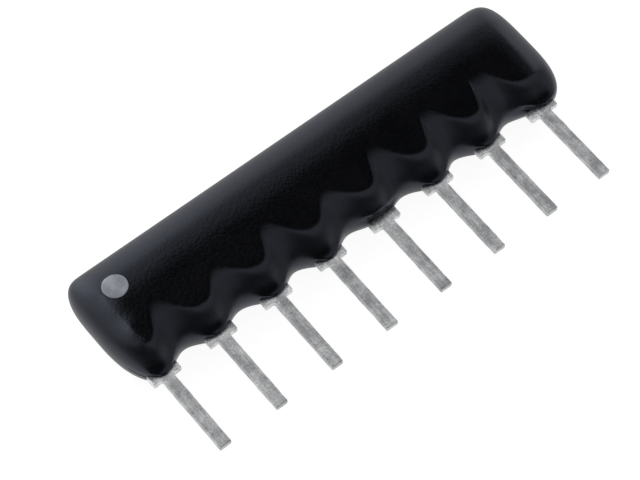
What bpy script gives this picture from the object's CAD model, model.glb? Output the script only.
"""Looks of a single in-line resistor network that lies on its back on a pale table."""

import math

import bmesh
import bpy
import numpy as np
from mathutils import Matrix, Vector


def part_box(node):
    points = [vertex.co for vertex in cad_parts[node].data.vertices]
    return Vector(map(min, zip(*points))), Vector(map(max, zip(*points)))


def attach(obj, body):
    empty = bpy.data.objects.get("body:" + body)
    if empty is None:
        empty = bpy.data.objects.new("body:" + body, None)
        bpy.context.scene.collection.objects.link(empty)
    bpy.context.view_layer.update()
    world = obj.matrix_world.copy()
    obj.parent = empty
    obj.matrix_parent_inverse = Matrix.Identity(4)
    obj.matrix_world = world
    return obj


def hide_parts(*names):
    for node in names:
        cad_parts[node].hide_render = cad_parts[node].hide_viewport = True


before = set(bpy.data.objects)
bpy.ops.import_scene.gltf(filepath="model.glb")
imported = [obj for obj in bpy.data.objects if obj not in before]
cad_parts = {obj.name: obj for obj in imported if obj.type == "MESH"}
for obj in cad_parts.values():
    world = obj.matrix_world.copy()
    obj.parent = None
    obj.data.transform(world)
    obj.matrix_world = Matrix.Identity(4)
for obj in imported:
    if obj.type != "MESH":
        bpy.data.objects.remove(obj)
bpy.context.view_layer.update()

MM = 0.001

# Sizes and places read from the frame
COAT_LOW, COAT_HIGH = (np.array(corner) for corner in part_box("coating"))
DOT_LOW, DOT_HIGH = (np.array(corner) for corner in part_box("pin_one_dot"))
PIN_COUNT = sum(name.startswith("terminal_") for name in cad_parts)
PIN_BOXES = np.array([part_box(f"terminal_{i + 1}") for i in range(PIN_COUNT)])
PIN_X = PIN_BOXES[:, :, 0].mean(1)
FIRST_X, LAST_X = PIN_X[0], PIN_X[-1]
PITCH = (LAST_X - FIRST_X) / (PIN_COUNT - 1)
TIP_Y = PIN_BOXES[0, 0, 1]
TINE_TOP = PIN_BOXES[0, 1, 1]
EAR_HALF = (PIN_BOXES[0, 1, 0] - PIN_BOXES[0, 0, 0]) / 2
TONGUE_Y, COAT_TOP = COAT_LOW[1], COAT_HIGH[1]
COAT_MID = (TONGUE_Y + COAT_TOP) / 2
COAT_HALF = COAT_TOP - COAT_MID
FRONT_H, BACK_H = COAT_HIGH[2], -COAT_LOW[2]

# Terminal
PIN_HALF = 0.25 * MM
SHEET_T = 0.25 * MM
EAR_H = 0.45 * MM
EAR_FILLET = 0.08 * MM
EAR_START = 0.002 * MM
TINE_W = 0.2333 * MM
TINE_STEP = 0.3133 * MM
PIN_WAVE = 0.006 * MM
PIN_PHASE = 1.7
# Waves of a stamped edge: radians per mm, multiple of the phase, and weight
PIN_WAVES = (5.1, 1, 1.0), (11.7, 2, 0.6)
STAMP_ROUND = 0.035 * MM
TIP_INSET = 0.6 * STAMP_ROUND
# Shares of a stamped rounding at which its rows lie
STAMP_CUT = np.array([0.0, 0.3, 0.7, 1.0])
# Ring of a stamped strip, quarter after quarter: sides, angles, steps on the straights, edge marks
RING_ROUND = 0.9 * STAMP_ROUND
QUARTER = np.radians([0, 0, 22.5, 45, 67.5, 90, 90])
RING_SX, RING_SZ = np.repeat([[1, -1, -1, 1], [1, 1, -1, -1]], len(QUARTER), 1)
RING_ARC = np.concatenate([QUARTER, QUARTER[::-1]] * 2)
RING_STEP = np.tile([1, 0, 0, 0, 0, 0, 1], 4) * 0.3 * RING_ROUND
RING_MARK = np.tile([0, 0.5, 1, 1, 1, 0.5, 0], 4)

# Rim of the coating, and the runs over which its faces rise from it
SCALLOP_H = 0.45 * MM
TOP_RUN = 1.3 * MM
END_RUN = 1.02 * MM
PIN_RUN = 1.0 * MM
PIN_LAND = 1.08 * MM
BACK_RUN = 1.2 * MM
GAP_BIAS = 1.9
GAP_SKEW = 0.08
LEFT_POWER = 2.1
RIGHT_POWER = 3.2
TOP_POWER = 3.8
CORNER_BIAS = 1.4
# How much higher than the drawn edge each tongue ends, and how far it leans
TONGUE_RISE = np.array([-0.10, 0.00, -0.07, -0.11, 0.20, -0.09, -0.05, 0.05]) * MM
TONGUE_LEAN = np.array([0.05, 0.10, -0.08, 0.06, 0.04, -0.10, 0.08, -0.28])
FIRST_DROP, LAST_DROP = np.minimum(TONGUE_RISE[[0, -1]], 0)
# Run of the valley in each gap between two tongues
GAP_RUN = np.array([2.0, 1.65, 2.1, 1.65, 2.15, 2.2, 2.55]) * MM

# Faces of the coating
TONGUE_T = 0.11 * MM
TONGUE_ROUND = 0.06
EDGE_POWER = 2.2
END_JOIN = 4
LEAST_WAY = 1e-4
SAG_FADE = 4
SKIN_WAVE = 0.004 * MM
# Waves of the set resin: radians per mm along x and along y, and phase
SKIN_WAVES = (1.3, 0.9, 0.0), (0.55, -2.1, 1.0), (2.3, 0.4, 2.0)
TOP_SAG_Y = 2.85 * MM
TOP_SAG = 0.029 * MM
LEFT_SAG_X = -8.35 * MM
LEFT_SAG = 0.05 * MM
LEFT_SAG_Y = 2.7 * MM
LEFT_SAG_BEND = 0.8 / MM
RIGHT_SAG_X = 8.6 * MM
RIGHT_SAG = 0.042 * MM
# Shares of the height below which slopes turn dull and tongues turn glossy, and over which they do
DULL_BELOW, DULL_OVER = 0.995, 0.08
WET_BELOW, WET_OVER = 0.75, 0.35

# Printed dot
DOT_T = 0.012 * MM
DOT_SUNK = 0.004 * MM
DOT_CROWN = 12
DOT_FILL = 0.985
# Unevenness of its edge: waves round it, phase, and share of the radius
DOT_WAVES = (3, 0.5, 0.008), (7, 0.0, 0.006)

# Camera, fitted to the picture
CAMERA_AZIMUTH = -38.50
CAMERA_ELEVATION = 61.42
CAMERA_DISTANCE = 110.16 * MM
CAMERA_RIGHT = -1.510 * MM
CAMERA_UP = 0.038 * MM
CAMERA_RISE = SHEET_T / 2
CAMERA_LENS = 168.75
CAMERA_CLIP = 0.005, 5.0
SENSOR_WIDTH = 36.0

# Distance under which points of a mesh are one point
WELD = 1e-8


# Surfaces

def mix(a, b, share):
    """Value between a and b at the given share of the way."""
    return a + (b - a) * share


def raised_cosine(turns):
    """Value that goes from 0 to 1 and back over each turn."""
    return (1 - np.cos(2 * np.pi * turns)) / 2


def grid_faces(rows, columns):
    """Quads of a grid of rows by columns points, row after row; the last column joins the first."""
    row, column = np.meshgrid(np.arange(rows - 1), np.arange(columns), indexing="ij")
    after = (column + 1) % columns
    this, following = row * columns, (row + 1) * columns
    quads = [this + column, this + after, following + after, following + column]
    return np.stack(quads, -1).reshape(-1, 4)


def mesh_piece(name, grids, marks=None):
    """Object made of closed grids: each is an array of rows by columns points, whose columns go round.
    Points that fall together are welded, so poles and seams are closed. Marks are values per point."""
    points = np.concatenate([grid.reshape(-1, 3) for grid in grids])
    starts = np.cumsum([0] + [grid.shape[0] * grid.shape[1] for grid in grids[:-1]])
    faces = np.concatenate([grid_faces(*grid.shape[:2]) + start for grid, start in zip(grids, starts)])
    mesh = bpy.data.meshes.new(name)
    mesh.from_pydata(points.tolist(), [], faces.tolist())
    if marks is not None:
        mark = mesh.attributes.new("mark", "FLOAT", "POINT")
        mark.data.foreach_set("value", marks.astype(np.float32))
    work = bmesh.new()
    work.from_mesh(mesh)
    bmesh.ops.remove_doubles(work, verts=work.verts, dist=WELD)
    bmesh.ops.recalc_face_normals(work, faces=work.faces)
    work.to_mesh(mesh)
    work.free()
    mesh.shade_smooth()
    piece = bpy.data.objects.new(name, mesh)
    bpy.context.scene.collection.objects.link(piece)
    return piece


# Coating

def round_edge(t):
    """Height of a rounded edge at share t of its run: a superellipse quarter."""
    return (1 - (1 - t) ** EDGE_POWER) ** (1 / EDGE_POWER)


def tongue_edge(t, lip, bare, front):
    """Height of a tongue at share t of its run: a small round lip past the bare share, plus a sweep up
    that is flat at both ends: a cubic, or on the front a quartic, which lands more softly."""
    lip_share = np.sqrt(1 - (1 - np.clip((t - bare) / TONGUE_ROUND, 0, 1)) ** 2)
    sweep = 1 - (1 - t) ** 3 * (1 + 3 * t) if front else t * t * (3 - 2 * t)
    return lip * lip_share + (1 - lip) * sweep


def face_sag(x, y):
    """Shift down of the set resin from the flat face: waves of three crossed sines along x and y, and
    slight falls towards the upper edge and the ends, as the squares of the ways past where each starts.
    The fall to the left starts further out low down, by the square of the way below LEFT_SAG_Y."""
    waves = sum(np.sin(along * x / MM + up * y / MM + phase) for along, up, phase in SKIN_WAVES)
    count = len(SKIN_WAVES)
    left_start = LEFT_SAG_X - LEFT_SAG_BEND * np.clip(LEFT_SAG_Y - y, 0, None) ** 2
    top = np.clip(y - TOP_SAG_Y, 0, None) / MM
    left = np.clip(left_start - x, 0, None) / MM
    right = np.clip(x - RIGHT_SAG_X, 0, None) / MM
    falls = TOP_SAG * top ** 2 + LEFT_SAG * left ** 2 + RIGHT_SAG * right ** 2
    return SKIN_WAVE * (waves - count) / count - falls


def rim_corner(spine, reach, side, power, edge_runs, edge_shift, steps=40):
    """One corner of the rim, with the rows of coating_rim, from the long edge to the end: a
    superellipse quarter whose turn goes from 0 to 90 degrees. Runs, share and shift go over from the
    long edge's to the end's by a power of the turn's sine."""
    turn = np.linspace(0, np.pi / 2, steps + 1)
    bend = np.sin(turn) ** CORNER_BIAS
    front_run, back_run = (mix(edge_run, END_RUN, bend) for edge_run in edge_runs)
    x = spine + reach * np.sin(turn) ** (2 / power)
    out_y = side * COAT_HALF * np.maximum(np.cos(turn), 0) ** (2 / power)
    y = COAT_MID + out_y + edge_shift * (1 - bend)
    share = np.ones_like(turn) if side > 0 else bend
    spines, bare = np.full_like(turn, spine), np.zeros_like(turn)
    return np.stack([x, y, spines, front_run, back_run, share, bare])


def coating_rim(gap_steps=40):
    """Outline of the coating seen from the front, counter-clockwise, as rows of x, y, spine x, front
    run, back run, share of the way from pin to gap, and length by which a tongue falls short of the
    rim. The lower edge is a raised cosine over the pins plus the drop of each long tongue, which fades
    by a squared cosine. The front run grows from pin to valley by a power of a skewed raised cosine.
    The upper edge is straight."""
    row = np.linspace(FIRST_X, LAST_X, (PIN_COUNT - 1) * gap_steps + 1)
    place = (row - FIRST_X) / PITCH
    share = raised_cosine(place)
    gap = np.minimum(place.astype(int), PIN_COUNT - 2)
    within = place - gap
    valley = raised_cosine(within + GAP_SKEW * np.sin(np.pi * within)) ** GAP_BIAS
    away = row[:, None] - PIN_X
    near = np.where(abs(away) < PITCH / 2, np.cos(np.pi * away / PITCH) ** 2, 0)
    shift = (near * (TONGUE_RISE + TONGUE_LEAN * away)).sum(1)
    drop, bare = np.minimum(shift, 0), np.maximum(shift, 0)
    front_run = mix(PIN_LAND, GAP_RUN[gap], valley) - drop
    back_run = mix(PIN_RUN, BACK_RUN, share) - drop
    ones, zeros = np.ones_like(row), np.zeros_like(row)
    lower = np.stack([row, TONGUE_Y + SCALLOP_H * share + drop, row, front_run, back_run, share, bare])
    upper = np.stack([row, COAT_TOP * ones, row, TOP_RUN * ones, TOP_RUN * ones, ones, zeros])
    right, left = COAT_HIGH[0] - LAST_X, COAT_LOW[0] - FIRST_X
    pin_runs, top_runs = (PIN_LAND, PIN_RUN), (TOP_RUN, TOP_RUN)
    return np.concatenate([
        lower,
        rim_corner(LAST_X, right, -1, RIGHT_POWER, pin_runs, LAST_DROP)[:, 1:],
        rim_corner(LAST_X, right, 1, TOP_POWER, top_runs, 0)[:, -2:0:-1],
        upper[:, ::-1],
        rim_corner(FIRST_X, left, 1, TOP_POWER, top_runs, 0)[:, 1:],
        rim_corner(FIRST_X, left, -1, LEFT_POWER, pin_runs, FIRST_DROP)[:, -2:0:-1],
    ], 1)


def end_rise(x, y, lip):
    """Share of the front's height past the ends of the spine: a round edge by the way in from the end
    at the same y and one by the way in from the long edge at the same x, joined by a smooth lesser of
    the two."""
    left, upper = x < 0, y > COAT_MID
    reach = np.where(left, FIRST_X - COAT_LOW[0], COAT_HIGH[0] - LAST_X)
    power = np.where(upper, TOP_POWER, np.where(left, LEFT_POWER, RIGHT_POWER))
    out = np.clip(np.where(left, FIRST_X - x, x - LAST_X) / reach, 0, 1)
    drop = np.where(upper, 0, np.where(left, FIRST_DROP, LAST_DROP))
    tall = COAT_HALF - drop * (1 - out ** (power / 2 * CORNER_BIAS))
    up = np.clip(abs(y - COAT_MID) / tall, 0, 1)
    edge_run = np.where(upper, TOP_RUN, PIN_LAND - drop)
    end_way = ((1 - up ** power) ** (1 / power) - out) * reach / END_RUN
    edge_way = ((1 - out ** power) ** (1 / power) - up) * tall / edge_run
    from_end, from_edge = (np.clip(way, LEAST_WAY, 1) for way in (end_way, edge_way))
    tongue = mix(tongue_edge(from_edge, lip, 0, True), round_edge(from_edge), out ** CORNER_BIAS)
    edge = np.where(upper, round_edge(from_edge), tongue)
    return (round_edge(from_end) ** -END_JOIN + edge ** -END_JOIN - 1) ** (-1 / END_JOIN)


def skin_side(edge, spine, run, share, bare, height, edge_rows=36, land_rows=12):
    """One face of the coating, as rows by rim points: from each rim point a straight line goes to the
    spine. Along the run the height follows the round edge in a gap and the tongue at a pin, mixed by
    the share; past the run the face is flat. The front follows end_rise past the ends of the spine, and
    sags by face_sag."""
    t = 1 - np.cos(np.linspace(0, np.pi / 2, edge_rows + 1))
    to_spine = np.stack([spine - edge[:, 0], COAT_MID - edge[:, 1]], 1)
    reach = np.minimum(1, run / np.linalg.norm(to_spine, axis=1))
    land = np.linspace(0, 1, land_rows + 1)[1:, None]
    way = np.concatenate([t[:, None] * reach, mix(reach, 1.0, land)])
    steps = np.concatenate([t, np.ones(land_rows)])[:, None]
    lip = (SHEET_T / 2 + TONGUE_T) / abs(height)
    rise = mix(tongue_edge(steps, lip, bare / run, height > 0), round_edge(steps), share)
    x, y = np.moveaxis(edge + to_spine * way[..., None], -1, 0)
    sag = 0
    if height > 0:
        rise[1:] = np.where((x < FIRST_X) | (x > LAST_X), end_rise(x, y, lip), rise)[1:]
        sag = face_sag(x, y) * rise ** SAG_FADE
    return np.stack([x, y, height * rise + sag], -1)


def coating_skin():
    """Dipped coating: its front and its back face, joined at the rim and each closed along the spine.
    Its marks go from 0 on the flat faces to 1 on the slopes, and back to 0 low on the tongues."""
    x, y, spine, front_run, back_run, share, bare = coating_rim()
    edge = np.stack([x, y], 1)
    front = skin_side(edge, spine, front_run, share, bare, FRONT_H)
    back = skin_side(edge, spine, back_run, share, bare, -BACK_H)
    level = np.concatenate([front[..., 2] / FRONT_H, -back[..., 2] / BACK_H])
    wet = (1 - share) * np.clip((WET_BELOW - level) / WET_OVER, 0, 1)
    dull = np.clip((DULL_BELOW - level) / DULL_OVER, 0, 1 - wet)
    return mesh_piece("dipped_coating", [front, back], dull.ravel())


def upper_face_height(x, y):
    """Height of the coating's front over x and y above the spine, by the way in from the upper edge and
    the end."""
    straight = round_edge(np.clip((COAT_TOP - y) / TOP_RUN, 0, 1))
    rise = np.where(x < FIRST_X, end_rise(x, y, 0), straight)
    return FRONT_H * rise + face_sag(x, y) * rise ** SAG_FADE


def ink_dot(rings=24, spokes=96):
    """Printed dot: a thin lens that follows the coating, in polar coordinates. Its edge is a circle
    with two small sine waves, and its thickness falls off by a high power of the way out."""
    centre = (DOT_LOW + DOT_HIGH) / 2
    radius = (DOT_HIGH[0] - DOT_LOW[0]) / 2
    angle = np.linspace(0, 2 * np.pi, spokes, endpoint=False)
    uneven = sum(size * np.sin(count * angle + phase) for count, phase, size in DOT_WAVES)
    edge = radius * (DOT_FILL + uneven)
    out = np.sin(np.linspace(0, np.pi / 2, rings + 1))
    lift = np.concatenate([DOT_T * (1 - out ** DOT_CROWN), np.full(rings, -DOT_SUNK)])[:, None]
    out = np.concatenate([out, out[-2::-1]])[:, None]
    x = centre[0] + out * edge * np.cos(angle)
    y = centre[1] + out * edge * np.sin(angle)
    return mesh_piece("printed_dot", [np.stack([x, y, upper_face_height(x, y) + lift], -1)])


# Terminals

def stamped_ring(half_w, half_t):
    """Rounded rectangle about the origin, as x and z of its points, counter-clockwise: four quarter
    circles, with a point on the straight at either end of each. Columns of half sizes give one ring per
    row."""
    back_x = np.where(RING_ARC == QUARTER[-1], RING_STEP, 0)
    back_z = np.where(RING_ARC == QUARTER[0], RING_STEP, 0)
    return (RING_SX * (half_w - RING_ROUND + RING_ROUND * np.cos(RING_ARC) - back_x),
            RING_SZ * (half_t - RING_ROUND + RING_ROUND * np.sin(RING_ARC) - back_z))


def pin_wave(y, phase):
    """Slight unevenness of a stamped edge along y: the weighted mean of two sines."""
    waves = sum(weight * np.sin(y / MM * along + times * phase) for along, times, weight in PIN_WAVES)
    return PIN_WAVE * waves / sum(weight for _, _, weight in PIN_WAVES)


def blank_grid(phase, pin_rows=60, fillet_rows=8):
    """Pin and shoulder: a rounded rectangle carried up y, closed at both ends. Its half width is the
    pin's, then grows by a quarter circle, the fillet, to the ear, whose lower edge is a quarter circle
    too. Near the tip the ring shrinks by a share of another one."""
    rounding = np.sqrt(1 - (1 - STAMP_CUT) ** 2)
    turn = np.linspace(0, np.pi / 2, fillet_rows)[1:]
    tip = slice(1, 1 + len(STAMP_CUT))
    y = np.concatenate([
        [TIP_Y], TIP_Y + STAMP_ROUND * STAMP_CUT,
        np.linspace(TIP_Y + 2 * STAMP_ROUND, -EAR_FILLET, pin_rows),
        -EAR_FILLET * (1 - np.sin(turn)), EAR_START + STAMP_ROUND * STAMP_CUT, [EAR_H, EAR_H],
    ])
    half_w = np.concatenate([
        np.full(tip.stop + pin_rows, PIN_HALF), PIN_HALF + EAR_FILLET * (1 - np.cos(turn)),
        EAR_HALF - STAMP_ROUND * (1 - rounding), [EAR_HALF, EAR_HALF],
    ])
    cut = np.zeros_like(y)
    cut[tip] = 1 - rounding
    wave = np.where(half_w == PIN_HALF, pin_wave(y, phase), 0)
    inset = TIP_INSET * cut
    x, z = stamped_ring((half_w - inset + wave)[:, None], (SHEET_T / 2 - inset)[:, None])
    x[[0, -1]], z[[0, -1]] = 0, 0
    grid = np.stack([x, np.broadcast_to(y[:, None], x.shape), z], -1)
    return grid, np.maximum(RING_MARK, cut[:, None]).ravel()


def tine_grid(x, shift, bend_rows=13):
    """Clip tine: a rounded rectangle carried along a path in y and z of two quarter circles and a
    straight, each ring square to the path, closed at both ends."""
    bend = abs(shift) / 2
    turn = np.linspace(0, np.pi / 2, bend_rows)
    over = turn[1:]
    up, on = EAR_H + bend * np.sin(turn), EAR_H + bend + bend * (1 - np.cos(over))
    y = np.concatenate([up, on, [TINE_TOP]])
    z = np.concatenate([bend * (1 - np.cos(turn)), bend + bend * np.sin(over), [2 * bend]])
    lean = np.concatenate([turn, np.pi / 2 - over, [0.0]])[:, None]
    across, deep = stamped_ring(TINE_W / 2, SHEET_T / 2)
    path_y, path_z = y[:, None] - deep * np.sin(lean), z[:, None] + deep * np.cos(lean)
    grid = np.stack(np.broadcast_arrays(x + across, path_y, path_z * np.sign(shift)), -1)
    foot, top = (np.broadcast_to(ring.mean(0), ring.shape) for ring in grid[[0, -1]])
    grid = np.concatenate([foot[None], grid, top[None]])
    return grid, np.tile(RING_MARK, len(grid))


def terminal_piece(i):
    """Tinned terminal: the blank, one tine to the front and two to the back."""
    front_shift = PIN_BOXES[i, 1, 2] - SHEET_T / 2
    back_shift = PIN_BOXES[i, 0, 2] + SHEET_T / 2
    parts = [blank_grid(PIN_PHASE * i), tine_grid(0.0, front_shift)]
    parts += [tine_grid(side * TINE_STEP, back_shift) for side in (-1, 1)]
    grids = [grid + np.array([PIN_X[i], 0, 0]) for grid, _ in parts]
    return mesh_piece(f"tinned_terminal_{i + 1}", grids, np.concatenate([mark for _, mark in parts]))


# Nodes

# Sockets of a Mix node that mixes colours
MIX_SHARE, MIX_FIRST, MIX_SECOND, MIX_COLOUR = 0, 6, 7, 2
# Layout of a node tree: nodes to a row, and the room for each
NODE_COLUMNS, NODE_WIDTH, NODE_HEIGHT = 8, 220, 320


def rgb(red, green, blue):
    """Opaque colour."""
    return red, green, blue, 1.0


def add_node(tree, kind, **settings):
    """New node of a tree with its settings, in the next place of its layout."""
    line, column = divmod(len(tree.nodes), NODE_COLUMNS)
    node = tree.nodes.new(kind)
    node.location = (NODE_WIDTH * column, -NODE_HEIGHT * line)
    for name, value in settings.items():
        setattr(node, name, value)
    return node


def feed(socket, value):
    """Links a varying value to an input, or sets a plain one."""
    if isinstance(value, bpy.types.NodeSocket):
        socket.id_data.links.new(value, socket)
    else:
        socket.default_value = value


def set_inputs(node, **values):
    """Feeds inputs by name; underscores stand for spaces."""
    for name, value in values.items():
        feed(node.inputs[name.replace("_", " ")], value)


def spread(share, low, high):
    """Number between two by a varying share."""
    node = add_node(share.id_data, "ShaderNodeMapRange")
    set_inputs(node, Value=share, To_Min=low, To_Max=high)
    return node.outputs["Result"]


def ramp(value, start, end, low, high):
    """Smooth step of a varying number from low to high between start and end."""
    node = add_node(value.id_data, "ShaderNodeMapRange", interpolation_type="SMOOTHSTEP")
    set_inputs(node, Value=value, From_Min=start, From_Max=end, To_Min=low, To_Max=high)
    return node.outputs["Result"]


def combine(operation, first, *others):
    """Number worked out from a varying number and others, one after the other."""
    for other in others:
        node = add_node(first.id_data, "ShaderNodeMath", operation=operation)
        feed(node.inputs[0], first)
        feed(node.inputs[1], other)
        first = node.outputs[0]
    return first


def mix_colours(tree, kind, share, first, second):
    """Colour worked out from two by a share."""
    node = add_node(tree, "ShaderNodeMix", data_type="RGBA", blend_type=kind)
    feed(node.inputs[MIX_SHARE], share)
    feed(node.inputs[MIX_FIRST], first)
    feed(node.inputs[MIX_SECOND], second)
    return node.outputs[MIX_COLOUR]


def tint(share, dark, light):
    """Colour between two by a varying share."""
    return mix_colours(share.id_data, "MIX", share, dark, light)


def multiply(colour, *others):
    """Varying colour times others, one after the other."""
    for other in others:
        colour = mix_colours(colour.id_data, "MULTIPLY", 1.0, colour, other)
    return colour


def relief(height, strength, depth):
    """Normal of a fine relief."""
    bump = add_node(height.id_data, "ShaderNodeBump")
    set_inputs(bump, Height=height, Strength=strength, Distance=depth)
    return bump.outputs["Normal"]


def mix_shaders(share, first, second):
    """Shader between the shaders of two nodes by a varying share."""
    node = add_node(share.id_data, "ShaderNodeMixShader")
    for socket, value in zip(node.inputs, (share, first.outputs[0], second.outputs[0])):
        feed(socket, value)
    return node.outputs[0]


def axes_of(vector):
    """Parts of a varying vector, by the name of the axis."""
    node = add_node(vector.id_data, "ShaderNodeSeparateXYZ")
    feed(node.inputs[0], vector)
    return node.outputs


# Finishes. A sheen is the roughness from the smoothest place to the roughest, a relief is a strength
# and a depth, and EPOXY_SLOPE_SHEEN is added by the marks

EPOXY_DARK, EPOXY_LIGHT = rgb(0.0014, 0.0014, 0.0016), rgb(0.0028, 0.0028, 0.0031)
EPOXY_SHEEN = 0.12, 0.15
EPOXY_SLOPE_SHEEN = 0.0, 0.28
EPOXY_RELIEF = 0.4, 0.003 * MM
EPOXY_IOR = 1.53
EPOXY_TINT = rgb(0.72, 0.79, 1.0)

TIN_DARK, TIN_LIGHT = rgb(0.42, 0.425, 0.44), rgb(0.66, 0.665, 0.67)
TIN_EDGE = rgb(0.74, 0.74, 0.735)
TIN_EDGE_SHARE = 0.0, 0.6
STREAK_DARK, STREAK_LIGHT = rgb(0.55, 0.55, 0.555), rgb(1.38, 1.38, 1.37)
STREAK_STRETCH = 1.0, 0.07, 1.0
STREAK_SCALE, STREAK_DETAIL = 10.0 / MM, 4.0
SPECK_DARK, SPECK_LIGHT = rgb(0.74, 0.75, 0.76), rgb(1.10, 1.10, 1.10)
PIN_SHADE, SHOULDER_SHADE = rgb(1.0, 1.0, 1.0), rgb(1.45, 1.45, 1.44)
SHOULDER_START, SHOULDER_END = -0.4 * MM, 0.1 * MM
TIN_SHEEN = 0.48, 0.62
TIN_RELIEF = 0.4, 0.004 * MM

INK_DARK, INK_LIGHT = rgb(0.24, 0.26, 0.30), rgb(0.37, 0.39, 0.43)
INK_SHEEN = 0.45, 0.65
INK_RELIEF = 0.3, 0.003 * MM

# Pieces sealed inside the coating: name, dark and light colour, roughness, metallic
FIRED = {
    "substrate": ("alumina", rgb(0.78, 0.77, 0.72), rgb(0.86, 0.85, 0.81), 0.6, 0.0),
    "overglaze": ("overglaze_glass", rgb(0.02, 0.09, 0.06), rgb(0.04, 0.13, 0.09), 0.25, 0.0),
    "bus_conductor": ("conductor_film", rgb(0.55, 0.54, 0.48), rgb(0.66, 0.65, 0.60), 0.45, 1.0),
    "resistor": ("resistor_film", rgb(0.012, 0.011, 0.012), rgb(0.022, 0.020, 0.022), 0.55, 0.0),
    "solder": ("solder", rgb(0.46, 0.47, 0.48), rgb(0.60, 0.61, 0.62), 0.35, 1.0),
}
FIRED_SPREAD = 0.08

FLOOR_DARK, FLOOR_LIGHT = rgb(0.79, 0.79, 0.79), rgb(0.81, 0.81, 0.81)
FLOOR_GLOW = 1.32
FLOOR_GLOW_SHARE = 0.7

# Mottle: name and detail of each value, roughness of the noise, and the part of it that is spread
MOTTLE_DETAIL = {"Cloud": 4.0, "Grain": 2.0}
MOTTLE_ROUGHNESS = 0.55
MOTTLE_SPAN = 0.32, 0.68


def mottle_group():
    """Node group: cloudy and grainy values over object coordinates, each spread from 0 to 1."""
    group = bpy.data.node_groups.new("mottle", "ShaderNodeTree")
    face = group.interface
    face.new_socket("Vector", in_out="INPUT", socket_type="NodeSocketVector")
    for name in MOTTLE_DETAIL:
        face.new_socket(f"{name} Scale", in_out="INPUT", socket_type="NodeSocketFloat")
    for name in MOTTLE_DETAIL:
        face.new_socket(name, in_out="OUTPUT", socket_type="NodeSocketFloat")
    inside = add_node(group, "NodeGroupInput")
    outside = add_node(group, "NodeGroupOutput")
    for name, detail in MOTTLE_DETAIL.items():
        noise = add_node(group, "ShaderNodeTexNoise")
        set_inputs(noise, Vector=inside.outputs["Vector"], Scale=inside.outputs[f"{name} Scale"],
                   Detail=detail, Roughness=MOTTLE_ROUGHNESS)
        feed(outside.inputs[name], ramp(noise.outputs["Fac"], *MOTTLE_SPAN, 0.0, 1.0))
    return group


MOTTLE = mottle_group()


def start_material(name, cloud_scale, grain_scale):
    """Material with its Principled shader, object coordinates and mottle on them; scales are in 1/mm."""
    material = bpy.data.materials.new(name)
    material.use_nodes = True
    tree = material.node_tree
    place = add_node(tree, "ShaderNodeTexCoord").outputs["Object"]
    mottle = add_node(tree, "ShaderNodeGroup", node_tree=MOTTLE)
    set_inputs(mottle, Vector=place, Cloud_Scale=cloud_scale / MM, Grain_Scale=grain_scale / MM)
    shader = tree.nodes["Principled BSDF"]
    return material, shader, place, mottle.outputs["Cloud"], mottle.outputs["Grain"]


def piece_marks(material):
    """Marks of the piece that wears the material."""
    return add_node(material.node_tree, "ShaderNodeAttribute", attribute_name="mark").outputs["Fac"]


def epoxy_material():
    """Black dipped epoxy: semi-gloss with a fine grain in its sheen, duller on the slopes."""
    material, shader, _, cloud, grain = start_material("black_epoxy", cloud_scale=0.8, grain_scale=9.0)
    slopes = spread(piece_marks(material), *EPOXY_SLOPE_SHEEN)
    sheen = combine("ADD", spread(grain, *EPOXY_SHEEN), slopes)
    set_inputs(shader, Base_Color=tint(cloud, EPOXY_DARK, EPOXY_LIGHT), Roughness=sheen,
               Normal=relief(grain, *EPOXY_RELIEF), IOR=EPOXY_IOR, Specular_Tint=EPOXY_TINT)
    return material


def tin_material():
    """Dull tin plating: cloudy grey with drawn streaks along the pin and fine specks, brighter on the
    stamped edges and near the shoulder."""
    material, shader, place, cloud, grain = start_material(
        "dull_tin", cloud_scale=2.2, grain_scale=14.0)
    stretch = add_node(material.node_tree, "ShaderNodeMapping")
    set_inputs(stretch, Vector=place, Scale=STREAK_STRETCH)
    streak = add_node(material.node_tree, "ShaderNodeTexNoise")
    set_inputs(streak, Vector=stretch.outputs["Vector"], Scale=STREAK_SCALE, Detail=STREAK_DETAIL)
    worn = spread(piece_marks(material), *TIN_EDGE_SHARE)
    shoulder = ramp(axes_of(place)["Y"], SHOULDER_START, SHOULDER_END, 0.0, 1.0)
    colour = multiply(tint(worn, tint(cloud, TIN_DARK, TIN_LIGHT), TIN_EDGE),
                      tint(streak.outputs["Fac"], STREAK_DARK, STREAK_LIGHT),
                      tint(grain, SPECK_DARK, SPECK_LIGHT),
                      tint(shoulder, PIN_SHADE, SHOULDER_SHADE))
    set_inputs(shader, Base_Color=colour, Roughness=spread(grain, *TIN_SHEEN),
               Normal=relief(grain, *TIN_RELIEF), Metallic=1.0)
    return material


def ink_material():
    """Pale blue-grey printing ink, thin in places."""
    material, shader, _, cloud, grain = start_material("dot_ink", cloud_scale=3.0, grain_scale=12.0)
    set_inputs(shader, Base_Color=tint(cloud, INK_DARK, INK_LIGHT), Roughness=spread(grain, *INK_SHEEN),
               Normal=relief(grain, *INK_RELIEF))
    return material


def fired_material(name, dark, light, roughness, metallic):
    """Plain cloudy material for a piece sealed inside the coating."""
    material, shader, _, cloud, grain = start_material(name, cloud_scale=1.5, grain_scale=8.0)
    set_inputs(shader, Base_Color=tint(cloud, dark, light), Metallic=metallic,
               Roughness=spread(grain, roughness - FIRED_SPREAD, roughness + FIRED_SPREAD))
    return material


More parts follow.
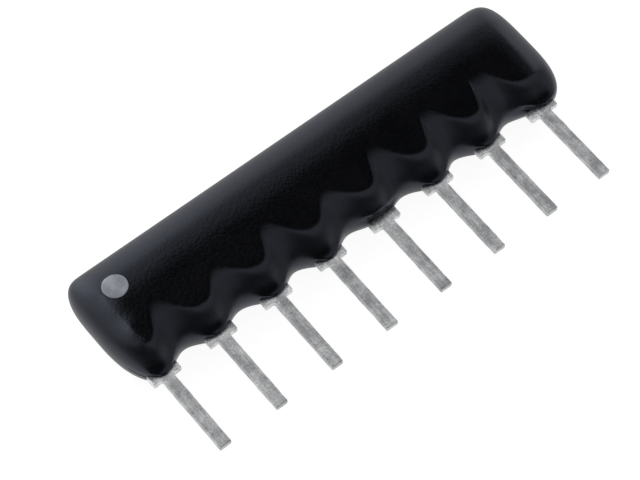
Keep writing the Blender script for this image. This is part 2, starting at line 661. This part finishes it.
def floor_material():
    """Pale table: white to the eye and in reflections, with the soft shadow of what lies on it."""
    material, shader, _, cloud, _ = start_material("pale_table", cloud_scale=0.02, grain_scale=0.5)
    tree = material.node_tree
    tree.nodes.remove(shader)
    diffuse = add_node(tree, "ShaderNodeBsdfDiffuse")
    set_inputs(diffuse, Color=tint(cloud, FLOOR_DARK, FLOOR_LIGHT))
    glow = add_node(tree, "ShaderNodeEmission")
    set_inputs(glow, Strength=FLOOR_GLOW)
    path = add_node(tree, "ShaderNodeLightPath").outputs
    seen = combine("MAXIMUM", path["Is Camera Ray"], path["Is Glossy Ray"], path["Is Transmission Ray"])
    share = combine("MULTIPLY", seen, FLOOR_GLOW_SHARE)
    set_inputs(tree.nodes["Material Output"], Surface=mix_shaders(share, diffuse, glow))
    return material


# Stage

FLOOR_HALF = 0.6
TABLE_GAP = 0.01 * MM

# Light of the room by direction: start and end of each ramp, and the values before and after it. WALL
# is behind the top edge, NEAR is its closer part on the left, SIDE is on the right, WINDOW is to the
# front right, and CEILING is everywhere
WALL_FOOT = 0.42, 0.52, 0.0, 0.45
WALL_RISE = 0.55, 1.0, 0.0, 0.65
WALL_WIDTH = 0.20, 0.36, 1.76, 0.99
NEAR_END = 0.19, 0.07, 0.0, 1.15
NEAR_FADE = -0.9, 0.1, 0.4, 1.0
NEAR_FOOT = 0.31, 0.43, 0.0, 1.0
NEAR_RISE = 0.38, 0.56, 1.0, 2.2
SIDE_START = 0.42, 0.68, 0.0, 1.0
SIDE_GROWTH = 0.5, 0.9, 1.1, 1.76
SIDE_FOOT = 0.22, 0.34, 0.0, 1.0
WINDOW_START = -0.50, -0.05, 0.0, 1.0
WINDOW_FADE = 0.55, 0.90, 1.0, 0.7
WINDOW_TOP = 0.35, 0.02, 0.0, 0.56
WINDOW_FOOT = -0.62, -0.84, 1.0, 0.08
CEILING = 0.2, -0.5, 0.015, 0.06
# How much the foot of the near wall and that of the window lean along x
ROOM_SLANT = 0.25


def studio_world():
    """Soft room light by direction: a dim ceiling, brighter to the front, a pale wall behind the top
    edge, nearer on the left, a lit wall on the right, and a window to the front right that fades out
    low down. The brightest of them counts. The camera sees plain white past the table."""
    world = bpy.data.worlds.new("studio")
    bpy.context.scene.world = world
    world.use_nodes = True
    tree = world.node_tree
    axes = axes_of(add_node(tree, "ShaderNodeTexCoord").outputs["Generated"])
    x, y = axes["X"], axes["Y"]
    slant = combine("MULTIPLY", x, ROOM_SLANT)
    back = combine("ADD", ramp(y, *WALL_FOOT), ramp(y, *WALL_RISE))
    wall = combine("MULTIPLY", back, ramp(x, *WALL_WIDTH))
    near = combine("MULTIPLY", ramp(x, *NEAR_END), ramp(x, *NEAR_FADE),
                   ramp(combine("SUBTRACT", y, slant), *NEAR_FOOT), ramp(y, *NEAR_RISE))
    side = combine("MULTIPLY", ramp(x, *SIDE_START), ramp(x, *SIDE_GROWTH), ramp(y, *SIDE_FOOT))
    window = combine("MULTIPLY", ramp(x, *WINDOW_START), ramp(x, *WINDOW_FADE), ramp(y, *WINDOW_TOP),
                     ramp(combine("ADD", y, slant), *WINDOW_FOOT))
    level = combine("MAXIMUM", wall, near, side, window, ramp(y, *CEILING))
    shade = tree.nodes["Background"]
    set_inputs(shade, Color=rgb(1, 1, 1), Strength=level)
    white = add_node(tree, "ShaderNodeBackground")
    set_inputs(white, Color=rgb(1, 1, 1), Strength=1.0)
    path = add_node(tree, "ShaderNodeLightPath").outputs
    set_inputs(tree.nodes["World Output"], Surface=mix_shaders(path["Is Camera Ray"], shade, white))


def softbox(name, towards, distance, width, height, power):
    """Area lamp that faces the object from the given direction."""
    data = bpy.data.lights.new(name, "AREA")
    data.shape = "RECTANGLE"
    data.size, data.size_y, data.energy = width, height, power
    lamp = bpy.data.objects.new(name, data)
    direction = Vector(towards).normalized()
    lamp.location = direction * distance
    lamp.rotation_euler = direction.to_track_quat("Z", "Y").to_euler()
    bpy.context.scene.collection.objects.link(lamp)


def table_top():
    """Flat square table under the part."""
    low = COAT_LOW[2] - TABLE_GAP
    corners = [(-FLOOR_HALF, -FLOOR_HALF, low), (FLOOR_HALF, -FLOOR_HALF, low),
               (FLOOR_HALF, FLOOR_HALF, low), (-FLOOR_HALF, FLOOR_HALF, low)]
    mesh = bpy.data.meshes.new("table")
    mesh.from_pydata(corners, [], [(0, 1, 2, 3)])
    table = bpy.data.objects.new("table", mesh)
    bpy.context.scene.collection.objects.link(table)
    mesh.materials.append(floor_material())


def picture_camera():
    """Camera at the place that was fitted to the picture."""
    azimuth, elevation = math.radians(CAMERA_AZIMUTH), math.radians(CAMERA_ELEVATION)
    back = Vector((math.sin(azimuth) * math.cos(elevation), -math.cos(azimuth) * math.cos(elevation),
                   math.sin(elevation)))
    right = Vector((math.cos(azimuth), math.sin(azimuth), 0))
    up = back.cross(right)
    data = bpy.data.cameras.new("camera")
    data.sensor_fit = "HORIZONTAL"
    data.sensor_width, data.lens = SENSOR_WIDTH, CAMERA_LENS
    data.clip_start, data.clip_end = CAMERA_CLIP
    camera = bpy.data.objects.new("camera", data)
    place = back * CAMERA_DISTANCE + right * CAMERA_RIGHT + up * CAMERA_UP + Vector((0, 0, CAMERA_RISE))
    camera.matrix_world = Matrix.Translation(place) @ Matrix((right, up, back)).transposed().to_4x4()
    bpy.context.scene.collection.objects.link(camera)
    bpy.context.scene.camera = camera


# The part

def show(piece, material, node):
    """Gives a piece its material and its place in the frame."""
    piece.data.materials.append(material)
    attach(piece, "root")
    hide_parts(node)


def paint_node(name, material):
    """Puts a material on every slot of a CAD node."""
    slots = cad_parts[name].data.materials
    for k in range(len(slots)):
        slots[k] = material
    if not slots:
        slots.append(material)


tin = tin_material()
show(coating_skin(), epoxy_material(), "coating")
show(ink_dot(), ink_material(), "pin_one_dot")
for index in range(PIN_COUNT):
    show(terminal_piece(index), tin, f"terminal_{index + 1}")

INNER = {kind: fired_material(*look) for kind, look in FIRED.items()}
INNER["pad"] = INNER["bus_conductor"]
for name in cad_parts:
    kind = name if name in INNER else name.rsplit("_", 1)[0]
    if kind in INNER:
        paint_node(name, INNER[kind])

table_top()
studio_world()
softbox("back_softbox", towards=(-0.45, 0.75, 0.5), distance=0.5, width=0.6, height=0.5, power=0.25)
picture_camera()
bpy.context.scene.view_settings.view_transform = "Standard"
